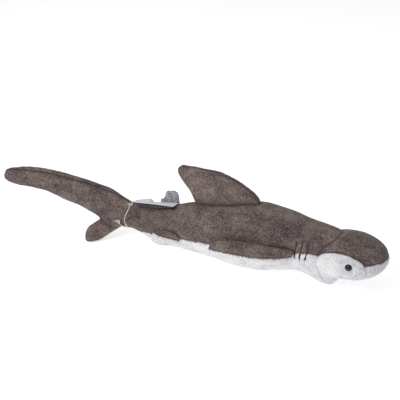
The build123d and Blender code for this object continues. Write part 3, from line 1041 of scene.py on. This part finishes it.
twine_finish = Finish("cream_twine", Roughness=0.85)
lint = twine_finish.noise(0.5, 3)
twine_finish.feed("Base Color", twine_finish.mix(lint, srgb(188, 178, 164), srgb(232, 224, 212)))
twine_finish.bump(lint, 0.25)

card_finish = Finish("tag_card", Roughness=0.6, Specular_IOR_Level=0.15)
paper = card_finish.noise(1.8, 4)
card_finish.feed("Base Color", card_finish.mix(paper, srgb(206, 207, 213), srgb(226, 227, 231)))
card_finish.feed("Roughness", card_finish.spread(paper, -2.0, 2.5))

# The back leaf is a darker grey card, mottled.
grey_card_finish = Finish("tag_back_grey", Roughness=0.5, Specular_IOR_Level=0.3)
grey_mottle = grey_card_finish.noise(2.4, 3)
grey_card_finish.feed("Base Color", grey_card_finish.mix(grey_mottle, srgb(58, 56, 62), srgb(92, 90, 96)))
print("finishes:", sorted(m.name for m in bpy.data.materials))

# %% [markdown]
# ## From one skin to sewn panels
# Each panel is a copy of the skin with every other panel deleted, so that neighbours meet
# exactly. Each gets the thickness of plush inwards. Along every edge between grey and white
# the longer grey pile hangs over the white in a ragged fringe, made of small pointed tufts.

# %% Cut out a panel, thicken it and add its fringe
CLOTH = 1.6


def panel_piece(form, numbers, number, name):
    piece = copy_of(form, name)
    select_faces(piece, numbers != number)
    bpy.ops.mesh.delete(type="FACE")
    bpy.ops.object.mode_set(mode="OBJECT")
    return piece


def stand_for(piece, finish, fill, *nodes):
    """Give a padded piece its finish and hide the frame nodes that it stands for. The fill argument is not
    used.
    """
    finish.give(piece)
    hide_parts(*nodes)


def thicken(piece):
    modify(piece, "SOLIDIFY", thickness=CLOTH * MM, offset=-1, use_rim=True)
    pick(piece)
    bpy.ops.object.shade_smooth_by_angle(angle=math.radians(55))
    return piece


def fringe_places(form, numbers, grey, white, per_mm, seed):
    """Places along the edges between grey and white panels, with the normal and the way to the white."""
    mesh = bmesh.new()
    mesh.from_mesh(form.data)
    mesh.faces.ensure_lookup_table()
    dice = np.random.RandomState(seed)
    found = {}
    for edge in mesh.edges:
        if len(edge.link_faces) != 2:
            continue
        first, second = edge.link_faces
        if numbers[first.index] in white:
            first, second = second, first
        if numbers[first.index] not in grey or numbers[second.index] not in white:
            continue
        along = edge.verts[1].co - edge.verts[0].co
        normal = (first.normal + second.normal).normalized()
        way = second.calc_center_median() - edge.verts[0].co
        way -= way.project(along)
        way = (way - way.project(normal)).normalized()
        count = along.length / MM * per_mm
        for _ in range(int(count) + (dice.rand() < count % 1)):
            place = edge.verts[0].co + along * dice.rand()
            found.setdefault(int(numbers[first.index]), []).append((place, normal, way, along.normalized()))
    mesh.free()
    return found


def add_tufts(piece, places, length, seed, lift=0.22, width=0.5):
    """Join small three-sided pointed tufts onto a piece, leaning the way they are given."""
    dice = np.random.RandomState(seed)
    mesh = bmesh.new()
    for place, normal, way, along in places:
        lean = way + normal * (lift * dice.uniform(0.5, 1.6)) + along * dice.normal(0, 0.35)
        tall = length * (0.35 + 0.8 * dice.rand() ** 1.6) * MM
        turn = lean.to_track_quat("Z", "Y").to_matrix().to_4x4()
        turn.translation = place - way * 0.5 * MM + lean.normalized() * tall * 0.42 + normal * 0.1 * MM
        bmesh.ops.create_cone(
            mesh, cap_ends=True, segments=3, radius1=width * dice.uniform(0.7, 1.2) * MM,
            radius2=0.04 * MM, depth=tall, matrix=turn,
        )
    data = bpy.data.meshes.new("tufts")
    mesh.to_mesh(data)
    mesh.free()
    tufts = bpy.data.objects.new("tufts", data)
    bpy.context.scene.collection.objects.link(tufts)
    pick(piece)
    tufts.select_set(True)
    bpy.ops.object.join()
    return piece


# %% Make the twelve panels
GREY_NUMBERS = {number for number, name in enumerate(PANELS) if name not in WHITE}
WHITE_NUMBERS = {number for number, name in enumerate(PANELS) if name in WHITE}
REPLACED = [
    "torso_side_right", "torso_side_left", "belly_panel", "tail_side_right", "tail_side_left",
    "tail_belly_strip", "caudal_fin_right", "caudal_fin_left", "head_top", "head_underside",
    "hammer_end_right", "hammer_end_left",
]
BEND_OF_PANEL = ["front"] * 3 + ["rear"] * 3 + ["end"] * 2 + ["front"] * 4
body_fringe = fringe_places(skin, panel, GREY_NUMBERS, WHITE_NUMBERS, 2.6, 3)
for number, name in enumerate(PANELS):
    piece = panel_piece(skin, panel, number, "plush_" + name)
    thicken(piece)
    if number in body_fringe:
        add_tufts(piece, body_fringe[number], 3.2, number)
    follow(piece, BEND_OF_PANEL[number])
    stand_for(piece, white_plush if name in WHITE else grey_plush, 0.9, REPLACED[number])
    print(piece.name, len(piece.data.polygons), "faces")

# %% [markdown]
# ## The filling
# Under the cloth is loose polyester fibre. It is the same form, drawn in by the thickness of the
# cloth and remeshed coarsely, in three lengths that bend as the panels round them do.

# %% Filling of the body


def shrunk(form, name, by, voxel=4.5):
    core = copy_of(form, name)
    modify(core, "REMESH", mode="VOXEL", voxel_size=voxel * MM)
    modify(core, "SMOOTH", factor=0.5, iterations=3)
    set_points(core, points(core) - normals(core) * by)
    return core


def keep_between(obj, low, high):
    """Keep what lies between two places along the body, and close the ends."""
    for x, facing in ((low, (-1, 0, 0)), (high, (1, 0, 0))):
        if x is not None:
            select_faces(obj)
            bpy.ops.mesh.bisect(plane_co=(x * MM, 0, 0), plane_no=facing, use_fill=True, clear_outer=True)
            bpy.ops.object.mode_set(mode="OBJECT")
    return obj


FILLINGS = [
    ("filling_front", FRONT_CUT_X, None, "front", ["torso_stuffing", "head_stuffing"]),
    ("filling_rear", REAR_CUT_X, FRONT_CUT_X, "rear", ["tail_stuffing"]),
    ("filling_tail_fin", None, REAR_CUT_X, "end", ["caudal_fin_stuffing"]),
]
core = shrunk(straight_skin, "core", 3.4)
for name, low, high, bend_name, nodes in FILLINGS:
    piece = keep_between(copy_of(core, name), low, high)
    bend(outward(piece))
    pick(piece)
    bpy.ops.object.shade_smooth()
    follow(piece, bend_name)
    stand_for(piece, fill_finish, 0.9, *nodes)
    print(name, len(piece.data.polygons), "faces")
bpy.data.objects.remove(core)

# %% Panels and filling of the dorsal fin
for number, side in enumerate(("right", "left")):
    piece = thicken(panel_piece(dorsal, dorsal_panel, number, f"plush_dorsal_fin_{side}"))
    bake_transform(piece)
    stand_for(piece, grey_plush, 0.7, f"dorsal_fin_{side}")
    print(piece.name, len(piece.data.polygons), "faces")
dorsal_core = shrunk(dorsal, "filling_dorsal_fin", 2.2, 2.6)
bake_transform(dorsal_core)
stand_for(dorsal_core, fill_finish, 0.7, "dorsal_fin_stuffing")
bpy.data.objects.remove(dorsal)

# %% Panels and fillings of the side fins
FINS = [
    ("pectoral_right", pectoral, pectoral_panel, "torso", 4.6),
    ("pectoral_left", pectoral_left_form, pectoral_panel, "torso", 4.6),
    ("pelvic_right", pelvic, pelvic_panel, "tail", 2.4),
    ("pelvic_left", pelvic_left_form, pelvic_panel, "tail", 2.4),
]
ROOTS = {  # where the cloth would stop following the body, and where it would follow only the fin; they are only printed
    "pectoral_right": ((74, -36.5, 59), (74, -41, 53)),
    "pectoral_left": ((74, 36.5, 59), (74, 41, 53)),
    "pelvic_right": ((-94, -25, 40), (-94, -28, 36)),
    "pelvic_left": ((-94, 25, 40), (-94, 28, 36)),
}
for name, form, numbers, parent, tuft in FINS:
    start, end = (place_at_rest(*place) for place in ROOTS[name])
    tufts = fringe_places(form, numbers, {0}, {1}, 3.0, 5)
    for number, half, finish in ((0, "top", grey_plush), (1, "bottom", white_plush)):
        piece = thicken(panel_piece(form, numbers, number, f"plush_{name}_{half}"))
        if number == 0:
            add_tufts(piece, tufts[0], tuft, 7)
        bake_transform(piece)
        stand_for(piece, finish, 0.8, f"{name}_{half}")
    if name.startswith("pectoral"):
        piece = shrunk(form, f"filling_{name}", 2.4, 2.8)
        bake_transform(piece)
        stand_for(piece, fill_finish, 0.8, f"{name}_stuffing")
    bpy.data.objects.remove(form)
    print(name, "turns on", parent, "from", [round(c, 3) for c in start])

# %% [markdown]
# ## Eyes
# The domed eyes and their washers come from the frame as they are: their shape is exact. They
# only need their plastic.

# %% Eyes and washers
for side in ("right", "left"):
    eye_finish.give(bpy.data.objects[f"eye_{side}"])
    washer_finish.give(bpy.data.objects[f"eye_washer_{side}"])

# %% [markdown]
# ## Gill stitches
# Each gill is a bar of satin stitch, sewn through the finished skin in black thread. A bar is
# built from single stitches that lie side by side across it, each a little different, all
# following the surface, which is found by casting rays at the straight skin.

# %% Stitch bars
from mathutils.bvhtree import BVHTree


skin_faces = BVHTree.FromObject(straight_skin, bpy.context.evaluated_depsgraph_get())


def on_skin(place, towards):
    """The point and the normal of the skin that is met from a place in a direction."""
    found, normal, _, _ = skin_faces.ray_cast(Vector(place) * MM, Vector(towards).normalized())
    return np.array(found) / MM, np.array(normal)


def thread_run(name, places, radius, sides=6):
    """A tube through a few places, closed at both ends."""
    curve = bpy.data.curves.new(name, "CURVE")
    curve.dimensions = "3D"
    curve.bevel_depth = radius * MM
    curve.bevel_resolution = 2 if sides > 6 else 1
    curve.use_fill_caps = True
    spline = curve.splines.new("NURBS")
    spline.points.add(len(places) - 1)
    for point, place in zip(spline.points, places):
        point.co = (*(c * MM for c in place), 1)
    spline.order_u = 3
    spline.use_endpoint_u = True
    spline.resolution_u = 4
    obj = bpy.data.objects.new(name, curve)
    bpy.context.scene.collection.objects.link(obj)
    pick(obj)
    bpy.ops.object.convert(target="MESH")
    bpy.ops.object.shade_smooth()
    return bpy.context.object


def joined(pieces, name):
    pick(pieces[0])
    for piece in pieces[1:]:
        piece.select_set(True)
    bpy.ops.object.join()
    pieces[0].name = name
    return pieces[0]


def gill_bars(side_name, side):
    dice = np.random.RandomState(21)
    stitches = []
    for bar, (x, low, high) in enumerate(((107.5, 47, 70), (114.5, 46.5, 72), (122, 48, 69))):
        for z in np.arange(low, high, 0.7):
            if dice.rand() < 0.05:
                continue
            width = 0.95 + 0.35 * np.sin(bar * 2 + z / 1.7)
            middle = x + 0.7 * np.sin(z / 5 + bar) + dice.uniform(-0.35, 0.35)
            line = []
            for offset, proud in ((-1, -0.3), (-0.5, 0.45), (0.5, 0.45), (1, -0.3)):
                place, normal = on_skin((middle + offset * width, side * 60, z + offset * 0.5), (0, -side, 0))
                line.append(place + normal * proud)
            stitches.append(thread_run("stitch", line, 0.42))
    return joined(stitches, f"satin_gills_{side_name}")


for side_name, side in (("right", -1), ("left", 1)):
    bars = gill_bars(side_name, side)
    thread_finish.give(bars)
    follow(bars, "front")
    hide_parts(f"gill_stitches_{side_name}")
    print(bars.name, len(bars.data.polygons), "faces")

# %% [markdown]
# ## Twine, tag and label
# A loop of two-ply cotton twine is tied round the narrow of the tail and holds the swing tag.
# Its loose end is frayed. The tag is a card folded along its near edge. The label behind it is
# a short woven ribbon, sewn in at its lower edge and standing up.

# %% Twine loop
LOOP_X = -147.5
LOOP_Z = 43.0


def loop_place(angle, off=0.0):
    """A place on the skin round the tail, at an angle from the top, turning to the near side."""
    away = np.array((0.0, -math.sin(angle), math.cos(angle)))
    slant = 3.0 * (1 - math.cos(angle)) + (5.0 * math.sin(angle) ** 2 if math.sin(angle) > 0 else 0.0)
    middle = np.array((LOOP_X - slant, 0, LOOP_Z))
    place, _ = on_skin(middle + away * 60, -away)
    return place + away * (0.75 + off)


def ply_run(path, turn, name, radius=0.48, lay=0.42, pitch=3.2):
    """One ply of a twisted twine, winding round a path."""
    path = np.array(path)
    run = np.r_[0, np.cumsum(np.linalg.norm(np.diff(path, axis=0), axis=1))]
    at = np.arange(0, run[-1], pitch / 6)
    centre = np.column_stack([np.interp(at, run, path[:, k]) for k in range(3)])
    ahead = np.gradient(centre, axis=0)
    ahead /= np.linalg.norm(ahead, axis=1, keepdims=True)
    side = np.cross(ahead, (1.0, 0.13, 0.21))
    side /= np.linalg.norm(side, axis=1, keepdims=True)
    up = np.cross(ahead, side)
    phase = (2 * math.pi * at / pitch + turn)[:, None]
    return thread_run(name, centre + lay * (side * np.cos(phase) + up * np.sin(phase)), radius)


loop = [loop_place(angle) for angle in np.linspace(0, 2 * math.pi, 49)]
TAIL_END = ((3.1, 0), (2.95, -3.0), (2.8, -6.0), (2.6, -8.5), (2.45, -10.5))  # angle, way back
FIBRES = 44
tail_end = [loop_place(angle) + np.array((shift, 0, 0)) for angle, shift in TAIL_END]
plies = [ply_run(path, turn, "ply") for path in (loop, tail_end) for turn in (0, math.pi)]
fray_root = tail_end[-1]
dice = np.random.RandomState(5)
for _ in range(FIBRES):
    spread = dice.uniform(-1, 1, 2)
    reach = (-3.6 + 5.0 * spread[0], -3.0 + 0.7 * spread[1], 9.2 + dice.uniform(-1.8, 1.2))
    tip = fray_root + np.array(reach)
    middle = fray_root + (tip - fray_root) * 0.45 + np.array((-1.0 * spread[0], -1.2, 0))
    plies.append(thread_run("fibre", [fray_root, middle, tip], 0.24))
twine = joined(plies, "twine_loop")
bend(twine)
twine_finish.give(twine)
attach(twine, "tail")
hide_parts("tag_string")
lengths = [np.linalg.norm(np.diff(path, axis=0), axis=1).sum().round(1) for path in (loop, tail_end)]
print("twine round the tail and its loose end:", lengths, "mm")

# %% Knot
top = loop_place(0.35)
knot_runs = []
for turn in (0, math.pi):
    angles = np.linspace(0, 2 * math.pi, 40)
    path = np.column_stack([
        top[0] + 1.5 * (np.sin(angles) + 0.9 * np.sin(2 * angles)),
        top[1] + 1.5 * (np.cos(angles) - 0.9 * np.cos(2 * angles)),
        top[2] + 1.5 - 0.9 * np.sin(3 * angles),
    ])
    knot_runs.append(ply_run(path, turn, "knot_ply", 0.45, 0.4))
for end in ((-3.5, -1.0, 1.8), (2.8, -2.2, 0.8)):
    path = [top + (0, 0, 1.5), top + np.array(end) / 2 + (0, 0, 1.6), top + end]
    knot_runs.append(thread_run("knot_end", path, 0.5))
knot = joined(knot_runs, "twine_knot")
bend(knot)
twine_finish.give(knot)
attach(knot, "tail")
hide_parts("string_knot")

# %% Swing tag
CARD = 0.45
TAG_LENGTH, TAG_WIDTH = 62.0, 24.0
LEAF_SPAN = 0.9 * TAG_WIDTH  # the upper leaf's width, seen from above


def card_leaf(name, shape):
    """A thin card whose points are placed by a function of its length and width, each from 0 to 1."""
    bpy.ops.mesh.primitive_grid_add(x_subdivisions=40, y_subdivisions=16, size=2)
    leaf = bpy.context.object
    leaf.name = name
    grid = points(leaf) * MM
    set_points(leaf, shape((grid[:, 0] + 1) / 2, (grid[:, 1] + 1) / 2))
    modify(leaf, "SOLIDIFY", thickness=CARD * MM, offset=0)
    outward(leaf)
    pick(leaf)
    bpy.ops.object.shade_smooth_by_angle(angle=math.radians(40))
    return bend(leaf)


def lean(along, away):
    """How far the card has dropped, a distance away from its folded near edge."""
    return (10 - 4.5 * along) * away / LEAF_SPAN


def upper_leaf(along, across):
    curl = (2.5 + 8 * along) * share_between(0.44, 0.35, along) * np.clip((across - 0.3) / 0.7, 0, 1)
    arch = 0.6 * np.sin(np.pi * along)
    return np.column_stack([
        -143 + TAG_LENGTH * along,
        -16 + LEAF_SPAN * across,
        72.3 + arch + curl - lean(along, LEAF_SPAN * across),
    ])


def lower_leaf(along, across):
    drop = 5.2 * np.clip(1 - across, 0, 1) ** 1.5
    arch = np.sin(np.pi * along)
    return np.column_stack([
        -142.5 + (TAG_LENGTH - 1) * along,
        -16.3 + 9 * across + 0.3 * drop,
        71.6 + 0.6 * arch - lean(along, 9 * across) - drop * (0.1 + 0.9 * arch),
    ])


cover = card_leaf("swing_tag_cover", upper_leaf)
card_finish.give(cover)
back = card_leaf("swing_tag_back", lower_leaf)
grey_card_finish.give(back)
for piece, node in ((cover, "tag_cover"), (back, "tag_back")):
    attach(piece, "tag")
    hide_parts(node)
print("tag:", points(cover).min(0).round(1), points(cover).max(0).round(1))

# %% Woven label
LABEL_EDGE = [
    (-108, 63), (-108, 68.5), (-104, 70), (-101.5, 73), (-100.5, 79.5), (-98.5, 82), (-88, 83.5),
    (-84, 82), (-81.5, 77.5), (-80.5, 63),
]
label_edge = np.array(LABEL_EDGE, float)
label = plate("sewn_label", label_edge, 0.35)
modify(label, "REMESH", mode="VOXEL", voxel_size=0.6 * MM)
pick(label)
bpy.ops.object.shade_smooth()
co = points(label)
co[:, 1] = co[:, 1] + 10.5 + 1.6 * np.sin((co[:, 0] + 106) / 8) * share_between(66, 86, co[:, 2])
set_points(label, co)
bend(label)
label_finish.give(label)
follow(label, "rear")
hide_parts("care_label")
x, z = label_edge.T

# %% [markdown]
# ## Finishing
# The working copy of the skin has done its job.

# %% Clear up
bpy.data.objects.remove(straight_skin)
bpy.data.objects.remove(skin)
